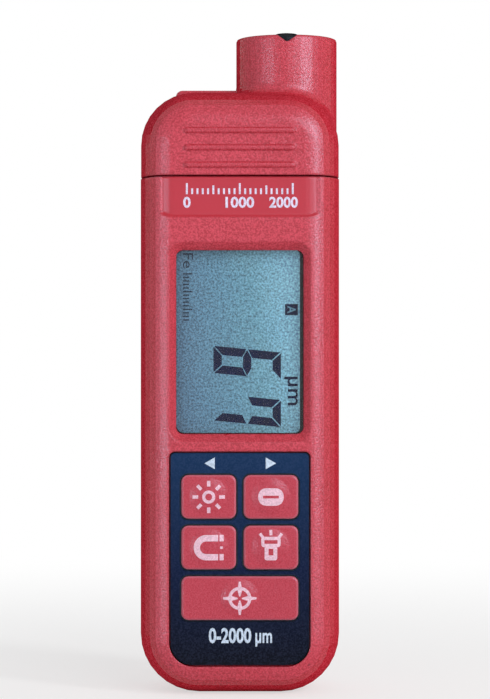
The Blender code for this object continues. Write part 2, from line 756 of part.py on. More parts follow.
def seam_lip():
    """A lip along the seam, inside the front shell's wall, that grows out of the rear shell's wall."""
    section = [(LIP_INSET, SEAM_DEPTH - LIP_HEIGHT), (LIP_INSET, SEAM_DEPTH + GAP)]
    section += [(WALL / 2, SEAM_DEPTH + GAP), (WALL / 2, SEAM_DEPTH + LIP_HEIGHT)]
    lip = case_solid("seam_lip", section)
    keep_inside(lip, level_region("lip_region", -REACH, PARTING - TONGUE_HEIGHT - GAP))
    inner = [(LIP_INSET + LIP_WALL, SEAM_DEPTH - REACH), (LIP_INSET + LIP_WALL, SEAM_DEPTH + REACH)]
    return cut(lip, case_solid("lip_hollow", inner))


def make_display(clear, glass, dark, white):
    window = screen_outline(SCREEN_SLOPE - WINDOW_OVERLAP)
    slab("display_window", window, WINDOW_DEPTH, WINDOW_THICKNESS, clear)
    slab("lcd_glass", screen_outline(lcd_shrink()), LCD_DEPTH, LCD_THICKNESS, glass)
    slab("backlight", screen_outline(lcd_shrink()), BACKLIGHT_DEPTH, BACKLIGHT_THICKNESS, white)
    depth = BACKLIGHT_DEPTH + BACKLIGHT_THICKNESS - LCD_DEPTH
    frame = slab("lcd_frame", screen_outline(frame_shrink()), LCD_DEPTH, depth, dark)
    cut(frame, slab("cut_lcd", screen_outline(lcd_shrink() - GAP), LCD_DEPTH - REACH, depth + 2 * REACH))


def make_keypad_overlay(finish):
    overlay = slab("keypad_overlay", keypad_outline(KEY_CLEARANCE), OVERLAY_DROP, OVERLAY_THICKNESS, finish)
    for name, x, z, width in key_places():
        hole = key_outline(x, z, width, -KEY_CLEARANCE)
        cut(overlay, slab(f"cut_{name}", hole, OVERLAY_DROP - REACH, OVERLAY_THICKNESS + 2 * REACH))


def key_outline(x, z, width, shrink=0.0):
    radius = KEY_RADIUS - shrink
    half = KEY_HEIGHT / 2 - shrink
    return rounded_outline(width / 2 - shrink, z - half, z + half, radius, radius, x, KEY_CORNER_STEPS)


def make_key(name, x, z, width, finish):
    """A cap with a low round dome on it, and a stem behind it that presses the switch."""
    face = OVERLAY_DROP - KEY_PROUD
    back = OVERLAY_DROP + OVERLAY_THICKNESS + GAP - KEY_TRAVEL - GAP / 2
    stem_end = BOARD_DEPTH - GAP - SWITCH_HEIGHT - PLUNGER_HEIGHT - KEY_TRAVEL - GAP / 2
    outer = key_outline(x, z, width)
    first = -90 / 2 - 360 / len(outer) * KEY_CORNER_STEPS / 2

    def ring(radius):
        turns = [math.radians(first + 360 * index / len(outer)) for index in range(len(outer))]
        return [(x + radius * math.cos(turn), z + radius * math.sin(turn)) for turn in turns]

    rings = [[(x, y_at(face - DOME_HEIGHT), z)]]
    for step in range(1, DOME_RINGS + 1):
        share = step / DOME_RINGS
        rings.append(at_depth(ring(share * DOME_RADIUS), face - DOME_HEIGHT * (1 - share * share)))
    rings.append(at_depth(key_outline(x, z, width, KEY_EDGE), face))
    rings.append(at_depth(outer, face + KEY_EDGE))
    rings.append(at_depth(outer, back))
    rings.append(at_depth(ring(STEM_RADIUS), back))
    rings.append(at_depth(ring(STEM_RADIUS), stem_end))
    key = skin(name, rings, finish)
    place_origin(key, (x, y_at(face), z))


def place_origin(piece, point):
    """Puts a piece's origin at a point, with its shape left where it is."""
    for vertex in piece.data.vertices:
        vertex.co.x -= point[0]
        vertex.co.y -= point[1]
        vertex.co.z -= point[2]
    piece.location = point


def make_board(green, black, metal):
    """The board between the screws, with a buzzer and a chip behind it and a switch in front of each key."""
    edge = HALF_WIDTH - WALL - BOARD_MARGIN
    low = SCREW_FROM_BOTTOM + POST_RADIUS + BOARD_FROM_POST
    high = PARTING - SCREW_UNDER_HEAD - POST_RADIUS - BOARD_FROM_POST
    outline = rounded_outline(edge, low, high, BOARD_CORNER, BOARD_CORNER)
    slab("circuit_board", outline, BOARD_DEPTH, BOARD_THICKNESS, green)
    parts_x = HALF_WIDTH / 3
    parts_z = high - BUZZER_RADIUS - PARTS_FROM_EDGE
    half = CHIP_SIZE / 2
    outline = rounded_outline(half, parts_z - half, parts_z + half, CHIP_CORNER, CHIP_CORNER, parts_x)
    slab("main_chip", outline, PARTS_DEPTH, CHIP_HEIGHT, black)
    buzzer = [(BUZZER_RADIUS, PARTS_DEPTH), (BUZZER_RADIUS, PARTS_DEPTH + PARTS_HEIGHT)]
    turned_y("buzzer", buzzer, -parts_x, parts_z, black, steps=ROUND_STEPS)
    top = BOARD_DEPTH - GAP - SWITCH_HEIGHT
    half = SWITCH_SIZE / 2
    for name, x, z, _ in key_places():
        outline = rounded_outline(half, z - half, z + half, SWITCH_CORNER, SWITCH_CORNER, x)
        body = slab(name.replace("key", "switch"), outline, top, SWITCH_HEIGHT, metal)
        sunk = top + SWITCH_HEIGHT / 2
        join(body, rod_y(f"plunger_{name}", PLUNGER_RADIUS, top - PLUNGER_HEIGHT, sunk, x, z))


def make_probe(black, steel, copper):
    """The fixed holder in the sleeve, and the tip, core and coil that slide in it on a spring."""
    bore = TIP_RADIUS + GAP
    outer = BORE_RADIUS - GAP
    holder = [
        (HOLDER_LEAD_RADIUS, HOLDER_LOW),
        (outer, HOLDER_LOW),
        (outer, HOLDER_TOP - HOLDER_EDGE),
        (outer - HOLDER_EDGE, HOLDER_TOP),
        (bore, HOLDER_TOP),
        (bore, PROBE_SEAT),
        (HOLDER_LEAD_RADIUS, PROBE_SEAT),
    ]
    turned_z("probe_holder", holder, PROBE_X, PROBE_Y, black, closed=True)
    socket = CORE_RADIUS + GAP
    spread = TIP_RADIUS - socket
    tip = [(socket, TIP_LOW), (TIP_RADIUS, TIP_LOW)]
    for step in range(TIP_STEPS + 1):
        turn = math.radians(90 * step / TIP_STEPS)
        tip.append((socket + spread * math.cos(turn), TIP_TOP - TIP_DOME * (1 - math.sin(turn))))
    flange = TIP_RADIUS - GAP / 2
    core = [(0, PROBE_LOW), (flange, PROBE_LOW), (flange, FLANGE_TOP), (CORE_RADIUS, FLANGE_TOP)]
    for step in range(TIP_STEPS):
        turn = math.radians(90 * step / TIP_STEPS)
        core.append((CORE_RADIUS * math.cos(turn), TIP_TOP - CORE_DOME * (1 - math.sin(turn))))
    core.append((0, TIP_TOP))
    coil = [(socket, COIL_LOW), (flange, COIL_LOW), (flange, COIL_TOP), (socket, COIL_TOP)]
    moving = [
        turned_z("probe_tip", tip, PROBE_X, PROBE_Y, black, TURNED_STEPS, closed=True),
        turned_z("probe_core", core, PROBE_X, PROBE_Y, steel, TURNED_STEPS),
        turned_z("probe_coil", coil, PROBE_X, PROBE_Y, copper, TURNED_STEPS, closed=True),
    ]
    for piece in moving:
        place_origin(piece, (PROBE_X, PROBE_Y, TIP_TOP))
    radius = TIP_RADIUS - 2 * PROBE_WIRE
    ends = (PROBE_SEAT + GAP, PROBE_LOW - GAP)
    coil_spring("probe_spring", radius, PROBE_WIRE, PROBE_TURNS, *ends, PROBE_X, PROBE_Y, steel)


def make_torch(clear, white):
    radius = TORCH_RADIUS
    lens_top = LENS_LOW + LENS_THICKNESS
    lens = [(0, LENS_LOW), (radius, LENS_LOW), (radius, lens_top - LENS_EDGE)]
    lens += [(LENS_SHOULDER, lens_top - LENS_EDGE / 4), (0, lens_top)]
    turned_z("torch_lens", lens, TORCH_X, TORCH_Y, clear, TURNED_STEPS)
    neck = LED_LOW + LED_FLANGE
    led_top = LED_LOW + LED_LENGTH
    led = [(0, LED_LOW), (radius, LED_LOW), (radius, neck), (LED_NECK, neck), (LED_NECK, led_top - LED_DOME)]
    led += [(LED_NECK * math.sin(math.radians(45)), led_top - LED_DOME / 4), (0, led_top)]
    turned_z("torch_led", led, TORCH_X, TORCH_Y, white, TURNED_STEPS)


def make_batteries(sleeve, steel):
    """Two cells, head to tail, each between a spring and a flat contact."""
    y = y_at(CELL_DEPTH + CELL_RADIUS)
    low_cell = BAY_LOW + CONTACT_THICKNESS + 2 * GAP
    high_cell = BAY_TOP - CONTACT_THICKNESS - 2 * GAP - CELL_LENGTH
    nub = CELL_LENGTH - CELL_NUB_HEIGHT
    end_radius = CELL_RADIUS - CELL_EDGE
    shape = [(0, 0), (end_radius, 0), (CELL_RADIUS, CELL_EDGE), (CELL_RADIUS, nub - CELL_EDGE)]
    shape += [(end_radius, nub), (CELL_NUB_RADIUS, nub), (CELL_NUB_RADIUS, CELL_LENGTH), (0, CELL_LENGTH)]
    half = CONTACT_SIZE / 2
    for number, side in ((1, -1), (2, 1)):
        x = side * (CELL_RADIUS + CELL_SPACE / 2)
        upright = side < 0
        foot, up = (high_cell, 1) if upright else (low_cell + CELL_LENGTH, -1)
        profile = [(radius, foot + up * level) for radius, level in shape]
        turned_z(f"battery_{number}", profile, x, y, sleeve, TURNED_STEPS)
        contact_low = BAY_TOP - GAP - CONTACT_THICKNESS if upright else BAY_LOW + GAP
        high_corner = (x + half, y + half, contact_low + CONTACT_THICKNESS)
        box(f"battery_contact_{number}", (x - half, y - half, contact_low), high_corner, steel)
        spring_low = BAY_LOW + GAP if upright else BAY_TOP - GAP - SPRING_LENGTH
        wire = (SPRING_RADIUS, SPRING_WIRE, SPRING_TURNS)
        coil_spring(f"battery_spring_{number}", *wire, spring_low, spring_low + SPRING_LENGTH, x, y, steel)


def make_battery_cover(finish):
    """A flush plate on a ledge, with grooves for the thumb near its top."""
    cover = slab("battery_cover", cover_outline(GAP), COVER_DEPTH, COVER_THICKNESS, finish)
    place_origin(cover, (0, y_at(COVER_DEPTH), (BAY_LOW + BAY_TOP) / 2))
    first = BAY_TOP - GRIP_PITCH * GRIP_RIBS
    depths = (BACK_DEPTH - GRIP_DEPTH, BACK_DEPTH + REACH)
    for number in range(GRIP_RIBS):
        z = first + number * GRIP_PITCH
        cut(cover, depth_box(f"cut_grip_{number}", GRIP_WIDTH / 2, z, z + GRIP_THICKNESS, *depths))


def make_screws(finish):
    seat = SCREW_SEAT_DEPTH + GAP
    end, top = seat - SCREW_LENGTH, seat + SCREW_HEAD_HEIGHT
    profile = [(0, end), (SCREW_RADIUS, end), (SCREW_RADIUS, seat), (SCREW_HEAD_RADIUS, seat)]
    profile += [(SCREW_HEAD_RADIUS, top - SCREW_EDGE), (SCREW_HEAD_RADIUS - SCREW_EDGE, top), (0, top)]
    for number, (x, z) in enumerate(screw_places(), 1):
        turned_y(f"case_screw_{number}", profile, x, z, finish, SCREW_STEPS)


def main():
    for old in list(bpy.data.objects):
        bpy.data.objects.remove(old, do_unlink=True)
    red = material("case_red", (0.56, 0.045, 0.06), 0.45)
    key_red = material("key_red", (0.5, 0.03, 0.05), 0.4)
    navy = material("overlay_navy", (0.016, 0.022, 0.07), 0.4)
    black = material("black_plastic", (0.02, 0.02, 0.022), 0.5)
    clear = material("clear_window", (0.8, 0.85, 0.88), 0.08)
    grey_glass = material("lcd_grey", (0.13, 0.26, 0.34), 0.3)
    white = material("white_diffuser", (0.85, 0.86, 0.85), 0.5)
    green = material("board_green", (0.02, 0.16, 0.07), 0.5)
    steel = material("spring_steel", (0.6, 0.6, 0.62), 0.3, 1.0)
    copper = material("copper_wire", (0.72, 0.36, 0.2), 0.35, 1.0)
    wrapper = material("cell_wrapper", (0.05, 0.05, 0.06), 0.35)

    make_front_shell(red)
    make_head_cover(red)
    make_rear_shell(red)
    make_display(clear, grey_glass, black, white)
    make_keypad_overlay(navy)
    for key in key_places():
        make_key(*key, key_red)
    make_board(green, black, steel)
    make_probe(black, steel, copper)
    make_torch(clear, white)
    make_batteries(wrapper, steel)
    make_battery_cover(red)
    make_screws(steel)


main()
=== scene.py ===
"""Looks of the coating thickness gauge: finishes, printed signs, screen figures, stage, lamps and camera."""

import math

import bmesh
import bpy
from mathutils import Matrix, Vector
from mathutils.bvhtree import BVHTree


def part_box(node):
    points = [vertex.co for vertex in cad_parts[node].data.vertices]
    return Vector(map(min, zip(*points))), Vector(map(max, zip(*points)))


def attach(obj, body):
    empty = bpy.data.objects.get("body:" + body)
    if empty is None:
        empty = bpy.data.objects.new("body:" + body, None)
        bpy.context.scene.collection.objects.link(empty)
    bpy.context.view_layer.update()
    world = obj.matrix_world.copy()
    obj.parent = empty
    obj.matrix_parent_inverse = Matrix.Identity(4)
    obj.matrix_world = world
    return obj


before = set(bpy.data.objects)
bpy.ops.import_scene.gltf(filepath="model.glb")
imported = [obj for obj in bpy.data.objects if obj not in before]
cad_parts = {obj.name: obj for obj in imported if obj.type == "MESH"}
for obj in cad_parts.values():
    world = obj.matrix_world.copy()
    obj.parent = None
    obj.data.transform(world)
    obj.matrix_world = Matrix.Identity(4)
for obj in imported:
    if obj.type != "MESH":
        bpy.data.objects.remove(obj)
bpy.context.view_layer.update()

MM = 0.001

# Prints lie on a surface, sunk a little into it, and are cut along a grid so that they follow it
PRINT_HEIGHT = 0.03 * MM
PRINT_SUNK = 0.02 * MM
PRINT_GRID = 0.45 * MM

# Camera, at the photograph's distance and angle
CAMERA_PLACE = (0.9 * MM, -471.5 * MM, 60.35 * MM)
CAMERA_LENS = 136.2
CAMERA_SENSOR = 36.0

# Lamps: name, degrees to the right of the front, degrees up, distance, width, height and power
LAMPS = (
    ("key_light", 47, 19, 1.2, 0.2, 0.8, 6.8),
    ("front_light", 22, 24, 1.2, 0.5, 0.5, 3.0),
    ("left_light", -40, -2, 1.1, 0.3, 0.16, 3.0),
    ("back_light", 190, 12, 1.3, 1.6, 0.6, 6.0),
)
LAMP_AIM = (0.0, 0.0, 60 * MM)
WORLD_LEVEL = 0.36

# The stage: a floor that curves up into a backdrop. Near the gauge it glows less, so that the shadow shows
STAGE_HALF_WIDTH = 3.0
STAGE_NEAR = -3.0
STAGE_FAR = 2.0
STAGE_HEIGHT = 3.0
STAGE_CURVE = 1.0
STAGE_STEPS = 16
STAGE_WHITE = 0.93
SHADOW_START = 0.03
SHADOW_END = 0.3
FLOOR_GLOW = 0.6

# Screen figures. U runs down the case and V across it, because the figures lie on their side
DIGIT_WIDTH = 4.75 * MM
DIGIT_HEIGHT = 11.8 * MM
DIGIT_STROKE = 1.46 * MM
DIGIT_GAP = 0.14 * MM
DIGIT_SLANT = 0.1
DIGIT_PLACES = (("6", -4.62 * MM, 61.0 * MM), ("7", -4.62 * MM, 52.7 * MM))
DIGIT_SEGMENTS = {"6": "acdefg", "7": "abcf"}

# The screen's smaller marks: left and top, and length and height as they are read
UNIT = "\u00b5m"
UNIT_PLACE = (7.75 * MM, 55.6 * MM)
UNIT_SIZE = (5.0 * MM, 2.4 * MM)
MODE_PLACE = (8.3 * MM, 67.97 * MM)
MODE_SIZE = (1.3 * MM, 1.5 * MM)
METAL_PLACE = (-9.95 * MM, 77.2 * MM)
METAL_SIZE = (2.6 * MM, 1.75 * MM)

# The box round the mode's letter: left, right, low and high
MODE_BOX = (7.9 * MM, 10.15 * MM, 66.35 * MM, 68.3 * MM)

# The bar scale under the metal's symbol, where every fifth bar is long
BAR_COUNT = 14
BAR_TOP = 73.7 * MM
BAR_PITCH = 0.62 * MM
BAR_WIDTH = 0.24 * MM
BAR_SHORT = 1.05 * MM
BAR_LONG = 1.65 * MM

# The visible part of the cell, and its rounded corners
SCREEN_SIDES = (-11.18 * MM, 10.51 * MM)
SCREEN_ENDS = (45.78 * MM, 77.78 * MM)
SCREEN_ROUND = 0.9 * MM
SCREEN_LEFT_ROUND = 1.5 * MM
CELL_ROUND = 1.75 * MM
CELL_INSET = 0.04 * MM

# The cell's tones from its left to its right, which also rise a little towards its top
SCREEN_TONES = (
    (0.0, (0.085, 0.17, 0.27)),
    (0.3, (0.100, 0.22, 0.32)),
    (0.7, (0.135, 0.31, 0.40)),
    (1.0, (0.220, 0.46, 0.59)),
)
SCREEN_RISE = 0.14
SCREEN_SPARKLE = 0.34 * MM

# Reds of the case and keys, blues of the keypad's film, and the tint of their highlights
CASE_DARK = (0.46, 0.013, 0.022)
CASE_LIGHT = (0.55, 0.019, 0.036)
# The case grain's pale speckles: partly the grain's own colour, partly painted glints
CASE_GLINT = (0.62, 0.060, 0.092)
BADGE_RED = (0.46, 0.014, 0.026)
KEY_DARK = (0.41, 0.012, 0.026)
KEY_LIGHT = (0.50, 0.036, 0.060)
# The keys' pale edge is painted sheen
KEY_EDGE_SHEEN = (0.60, 0.14, 0.20)
# The film's blues: its low end is darkened as painted shade and its top lightened as painted light
FILM_SHADED_LOW = (0.001, 0.002, 0.006)
FILM_MIDDLE = (0.002, 0.008, 0.036)
FILM_LIT_TOP = (0.006, 0.028, 0.085)
FILM_GRAIN = (0.008, 0.010, 0.020)
GLINT = (0.62, 0.80, 1.0)

# Tones of the pieces inside
BLACK_DARK = (0.005, 0.005, 0.007)
BLACK_LIGHT = (0.012, 0.012, 0.015)
WHITE_DARK = (0.76, 0.78, 0.76)
WHITE_LIGHT = (0.84, 0.85, 0.83)
STEEL_DARK = (0.42, 0.42, 0.44)
STEEL_LIGHT = (0.62, 0.62, 0.63)
COPPER_DARK = (0.55, 0.22, 0.1)
COPPER_LIGHT = (0.78, 0.4, 0.22)

# Grain: its size, its relief, and how far edges and facets are softened
CASE_GRAIN = 0.3 * MM
CASE_RELIEF = 0.055 * MM
CASE_SOFT = 0.6 * MM
KEYPAD_GRAIN = 0.26 * MM
KEY_RELIEF = 0.05 * MM
KEY_SOFT = 0.4 * MM
FILM_RELIEF = 0.03 * MM
FAINT_RELIEF = 0.01 * MM
INNER_GRAIN = 0.25 * MM

# Sizes of the window's waves, the board's tracks, the wrapper's scuffs and the rings on wire
WINDOW_WAVES = 6 * MM
TRACK_PITCH = 4 * MM
SCUFF_SIZE = 0.8 * MM
RING_PITCH = 1.3 * MM

# Moulded surfaces: the size of their clouds, how dark and strong the grain is, and how the roughness varies
CLOUD_SIZE = 9 * MM
GRAIN_SHADE = 0.72
GRAIN_SHARE = 0.7
WEAR = 0.05

# Paints: name, dark and light tone, roughness, grain and gloss
PAINTS = (
    ("screen_ink", (0.0, 0.002, 0.030), (0.001, 0.004, 0.044), 0.6, 0.3 * MM, 0.0),
    ("faint_ink", (0.010, 0.024, 0.050), (0.016, 0.034, 0.066), 0.5, 0.3 * MM, 0.1),
    ("pale_mark", (0.11, 0.26, 0.36), (0.13, 0.30, 0.40), 0.5, 0.3 * MM, 0.1),
    # Painted shade for the gap round the cell's visible part
    ("painted_gap_shade", (0.004, 0.004, 0.006), (0.008, 0.008, 0.012), 0.6, 0.3 * MM, 0.1),
    ("key_print", (0.76, 0.48, 0.60), (0.86, 0.57, 0.69), 0.45, 0.25 * MM, 0.5),
    ("film_print", (0.50, 0.62, 0.78), (0.60, 0.72, 0.88), 0.45, 0.25 * MM, 0.5),
    ("badge_print", (0.66, 0.60, 0.80), (0.78, 0.70, 0.90), 0.45, 0.25 * MM, 0.5),
)
PAINT_RELIEF = 0.005 * MM

# The recess under the parting line
PARTING = 90.55 * MM
BADGE_LOW = 83.25 * MM
BADGE_HALF = 13.2 * MM
BADGE_DEPTH = -9.5 * MM
FIELD_EDGE = 0.3 * MM

# The number scale in that recess. Labels: words, left and length
BADGE_SCALE = 18.4 * MM
BADGE_STEPS = 20
BADGE_TICKS = 87.35 * MM
TICK_WIDTH = 0.34 * MM
TICK_HEIGHTS = (1.9 * MM, 1.5 * MM, 1.0 * MM)
BADGE_LABELS = (("0", -9.85 * MM, 1.3 * MM), ("1000", -2.5 * MM, 5.0 * MM), ("2000", 5.1 * MM, 5.0 * MM))
BADGE_NUMBERS = 84.95 * MM
BADGE_NUMBER_HEIGHT = 1.95 * MM

# The range under the lowest key: left and low, and length and height
RANGE_PLACE = (-5.4 * MM, 9.3 * MM)
RANGE_SIZE = (7.4 * MM, 2.7 * MM)
RANGE_UNIT_PLACE = (2.7 * MM, 8.75 * MM)
RANGE_UNIT_SIZE = (2.9 * MM, 2.4 * MM)

# The two arrows above the keys: name, middle and side that it points to
ARROWS = (("arrow_left", -5.25 * MM, -1), ("arrow_right", 5.4 * MM, 1))
ARROW_RISE = 40.58 * MM
ARROW_HALF_LENGTH = 0.9 * MM
ARROW_HALF_HEIGHT = 1.02 * MM

# Each key's corners, and the width of its pale edge, which is painted sheen
KEY_ROUND = 1.3 * MM
KEY_RIM = 0.4 * MM

# Painted shade: the keypad's pocket is dark from just under the film to this far back
POCKET_DEPTH = -8.0 * MM
POCKET_START = 0.2 * MM
POCKET_FULL = 0.4 * MM


def link(tree, start, end):
    tree.links.new(start, end)


def node(tree, kind, **values):
    """A shader node with its settings and the plain values of its sockets."""
    made = tree.nodes.new(kind)
    for name, value in values.items():
        if hasattr(made, name):
            setattr(made, name, value)
        else:
            made.inputs[name.replace("_", " ")].default_value = value
    return made


def new_material(name):
    """A material with an empty Principled shader, and its coordinates in metres."""
    made = bpy.data.materials.new(name)
    made.use_nodes = True
    tree = made.node_tree
    shader = tree.nodes["Principled BSDF"]
    coordinates = tree.nodes.new("ShaderNodeTexCoord").outputs["Object"]
    return made, tree, shader, coordinates


def noise(tree, coordinates, size, detail=2.0):
    """Cloudy noise whose features are about this size in metres."""
    made = node(tree, "ShaderNodeTexNoise", Scale=1 / size, Detail=detail)
    link(tree, coordinates, made.inputs["Vector"])
    return made.outputs["Fac"]


def ramp(tree, value, *stops):
    """Colours or greys along a value."""
    made = tree.nodes.new("ShaderNodeValToRGB")
    elements = made.color_ramp.elements
    while len(elements) < len(stops):
        elements.new(1.0)
    for element, (place, colour) in zip(elements, stops):
        element.position = place
        element.color = (*colour, 1.0) if isinstance(colour, tuple) else (colour, colour, colour, 1.0)
    link(tree, value, made.inputs["Fac"])
    return made.outputs["Color"]


def mix(tree, factor, first, second, kind="MIX"):
    """Two colours mixed by a number or a socket. Each colour is a tuple or a socket."""
    made = node(tree, "ShaderNodeMix", data_type="RGBA", blend_type=kind)
    if isinstance(factor, float):
        made.inputs[0].default_value = factor
    else:
        link(tree, factor, made.inputs[0])
    for socket, colour in ((made.inputs[6], first), (made.inputs[7], second)):
        if isinstance(colour, tuple):
            socket.default_value = (*colour, 1.0)
        else:
            link(tree, colour, socket)
    return made.outputs[2]


def combine(tree, operation, first, second):
    """One number from two."""
    made = node(tree, "ShaderNodeMath", operation=operation)
    link(tree, first, made.inputs[0])
    link(tree, second, made.inputs[1])
    return made.outputs[0]


def along(tree, coordinates, axis, start, end):
    """A value that rises from 0 to 1 between two places on an axis."""
    split = tree.nodes.new("ShaderNodeSeparateXYZ")
    link(tree, coordinates, split.inputs[0])
    made = node(tree, "ShaderNodeMapRange", From_Min=start, From_Max=end)
    link(tree, split.outputs[axis], made.inputs["Value"])
    return made.outputs[0]


def region(tree, coordinates, half_width, low, high, depth):
    """1 inside a field of the front, as far back as a depth, and 0 outside it."""
    sides = node(tree, "ShaderNodeVectorMath", operation="ABSOLUTE")
    link(tree, coordinates, sides.inputs[0])
    value = along(tree, sides.outputs[0], "X", half_width + FIELD_EDGE, half_width)
    edges = (("Z", low - FIELD_EDGE, low), ("Z", high + FIELD_EDGE, high), ("Y", depth + FIELD_EDGE, depth))
    for axis, start, end in edges:
        value = combine(tree, "MULTIPLY", value, along(tree, coordinates, axis, start, end))
    return value


def bump(tree, shader, height, distance, rounding=0.0):
    """Fine relief. With a rounding, edges and facets are softened over that distance first."""
    made = node(tree, "ShaderNodeBump", Distance=distance)
    link(tree, height, made.inputs["Height"])
    if rounding:
        soft = node(tree, "ShaderNodeBevel", samples=6, Radius=rounding)
        link(tree, soft.outputs[0], made.inputs["Normal"])
    link(tree, made.outputs["Normal"], shader.inputs["Normal"])


def satin(tree, shader, facing_gloss, edge_gloss=0.0):
    """A gloss that fades where the surface turns away, as on grained plastic."""
    facing = tree.nodes.new("ShaderNodeLayerWeight")
    gloss = ramp(tree, facing.outputs["Facing"], (0.15, facing_gloss), (0.6, edge_gloss))
    link(tree, gloss, shader.inputs["Specular IOR Level"])
    shader.inputs["Specular Tint"].default_value = (*GLINT, 1.0)


def moulded(name, dark, light, roughness, grain, relief, gloss=0.5, rounding=0.0, glint=None):
    """Moulded plastic, rubber or paint: a fine grain, and a colour that clouds slightly over the surface.
    Where a glint colour is given, the grain's pale speckles are partly its own colour and partly painted
    glints.
    """
    made, tree, shader, coordinates = new_material(name)
    cloud = noise(tree, coordinates, CLOUD_SIZE, detail=4.0)
    speckle = noise(tree, coordinates, grain, detail=1.0)
    base = mix(tree, ramp(tree, cloud, (0.3, 0.0), (0.7, 1.0)), dark, light)
    shade = tuple(GRAIN_SHADE * part for part in dark)
    # With a glint colour, the pale speckles are partly grain and partly painted glints
    fine = mix(tree, ramp(tree, speckle, (0.35, 0.0), (0.65, 1.0)), shade, glint or light)
    link(tree, mix(tree, GRAIN_SHARE, base, fine), shader.inputs["Base Color"])
    worn = ramp(tree, cloud, (0.25, roughness - WEAR), (0.75, roughness + WEAR))
    link(tree, worn, shader.inputs["Roughness"])
    shader.inputs["Specular IOR Level"].default_value = gloss
    bump(tree, shader, speckle, relief, rounding)
    return made


def case_material():
    """Grained red plastic, smoother in the badge's recess, with painted shade in the keypad's pocket."""
    made = moulded(
        "case_plastic",
        CASE_DARK,
        CASE_LIGHT,
        0.3,
        CASE_GRAIN,
        CASE_RELIEF,
        rounding=CASE_SOFT,
        glint=CASE_GLINT,
    )
    tree = made.node_tree
    shader = tree.nodes["Principled BSDF"]
    satin(tree, shader, 0.75)
    coordinates = tree.nodes["Texture Coordinate"].outputs["Object"]
    badge = region(tree, coordinates, BADGE_HALF, BADGE_LOW + FIELD_EDGE, PARTING, BADGE_DEPTH)
    colour = mix(tree, badge, shader.inputs["Base Color"].links[0].from_socket, BADGE_RED)
    low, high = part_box("keypad_overlay")
    pocket = region(tree, coordinates, high.x, low.z, high.z, POCKET_DEPTH)
    under = along(tree, coordinates, "Y", low.y + POCKET_START, low.y + POCKET_FULL)
    # Painted shade: the shell under the keypad's film is darkened to the film's low tone
    pocket_shade = combine(tree, "MULTIPLY", pocket, under)
    link(tree, mix(tree, pocket_shade, colour, FILM_SHADED_LOW), shader.inputs["Base Color"])
    strength = ramp(tree, badge, (0.0, 1.0), (1.0, 0.3))
    link(tree, strength, tree.nodes["Bump"].inputs["Strength"])
    return made


def key_material(name):
    """A key's red rubber, with a paler edge round its dome that is painted sheen."""
    low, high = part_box(name)
    made, tree, shader, coordinates = new_material(f"{name}_rubber")
    centre = ((low.x + high.x) / 2, 0.0, (low.z + high.z) / 2)
    inner = ((high.x - low.x) / 2 - KEY_ROUND, 1.0, (high.z - low.z) / 2 - KEY_ROUND)
    place = coordinates
    steps = (("SUBTRACT", centre), ("ABSOLUTE", None), ("SUBTRACT", inner), ("MAXIMUM", (0, 0, 0)))
    for operation, value in steps:
        step = node(tree, "ShaderNodeVectorMath", operation=operation)
        link(tree, place, step.inputs[0])
        if value:
            step.inputs[1].default_value = value
        place = step.outputs[0]
    far = node(tree, "ShaderNodeVectorMath", operation="LENGTH")
    link(tree, place, far.inputs[0])
    edge_sheen = node(
        tree,
        "ShaderNodeMapRange",
        interpolation_type="SMOOTHSTEP",
        From_Min=KEY_ROUND - KEY_RIM,
        From_Max=KEY_ROUND,
    )
    link(tree, far.outputs["Value"], edge_sheen.inputs["Value"])
    speckle = noise(tree, coordinates, KEYPAD_GRAIN, detail=1.0)
    body = mix(tree, ramp(tree, speckle, (0.35, 0.0), (0.65, 1.0)), KEY_DARK, KEY_LIGHT)
    # The pale rim is painted sheen, the light that the key's edge catches
    link(tree, mix(tree, edge_sheen.outputs[0], body, KEY_EDGE_SHEEN), shader.inputs["Base Color"])
    shader.inputs["Roughness"].default_value = 0.27
    satin(tree, shader, 0.8, 0.1)
    bump(tree, shader, speckle, KEY_RELIEF, KEY_SOFT)
    return made


def film_material():
    """The keypad's navy film, with painted shade that makes it nearly black at its low end and painted light
    that makes it bluer towards the screen.
    """
    made, tree, shader, coordinates = new_material("keypad_film")
    low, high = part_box("keypad_overlay")
    rise = along(tree, coordinates, "Z", low.z, high.z)
    speckle = noise(tree, coordinates, KEYPAD_GRAIN, detail=1.0)
    # Painted shade at the film's low end and painted light towards its top
    tone = ramp(tree, rise, (0.0, FILM_SHADED_LOW), (0.45, FILM_MIDDLE), (1.0, FILM_LIT_TOP))
    grains = mix(tree, ramp(tree, speckle, (0.4, 0.0), (0.65, 1.0)), (0.0, 0.0, 0.0), FILM_GRAIN)
    link(tree, mix(tree, 1.0, tone, grains, kind="ADD"), shader.inputs["Base Color"])
    link(tree, ramp(tree, speckle, (0.3, 0.46), (0.7, 0.38)), shader.inputs["Roughness"])
    shader.inputs["Specular IOR Level"].default_value = 0.08
    bump(tree, shader, speckle, FILM_RELIEF)
    return made


